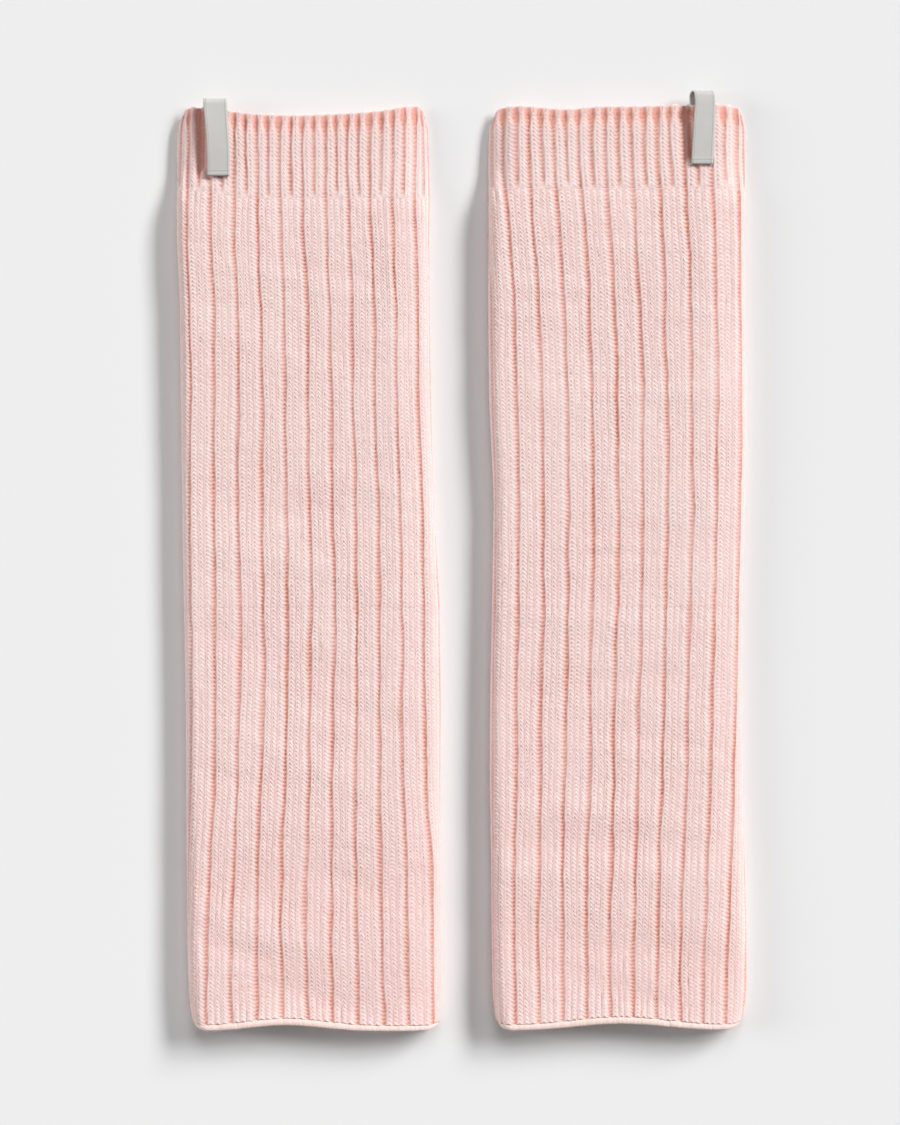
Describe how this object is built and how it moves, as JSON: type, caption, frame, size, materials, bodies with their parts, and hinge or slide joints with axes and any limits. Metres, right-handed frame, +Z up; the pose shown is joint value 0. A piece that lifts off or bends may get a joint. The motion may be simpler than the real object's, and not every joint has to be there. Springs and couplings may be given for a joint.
{
  "type": "pair of leg warmers",
  "caption": "Two ribbed-knit leg warmers laid flat side by side: open 3x1 rib tubes with 1x1 rib cuffs, narrow tubular hems and a folded ribbon loop on each cuff.",
  "frame": {"origin": "on the surface that the pair lies on, under the middle of its box", "axes": "+Y along the leg warmers, from the hems to the cuffs; +X across the pair, from the left one to the right one; +Z up from the surface"},
  "size_m": [0.2574, 0.4236, 0.014],
  "materials": {
    "rib_knit": "soft matte rib knit",
    "hem_knit": "fine pale tubular edge",
    "satin_ribbon": "woven satin, slight sheen"
  },
  "bodies": {
    "root": {"left_tube": "rib_knit", "left_cuff": "rib_knit", "left_hem": "hem_knit", "left_label": "satin_ribbon", "right_tube": "rib_knit", "right_cuff": "rib_knit", "right_hem": "hem_knit", "right_label": "satin_ribbon"}
  },
  "joints": []
}
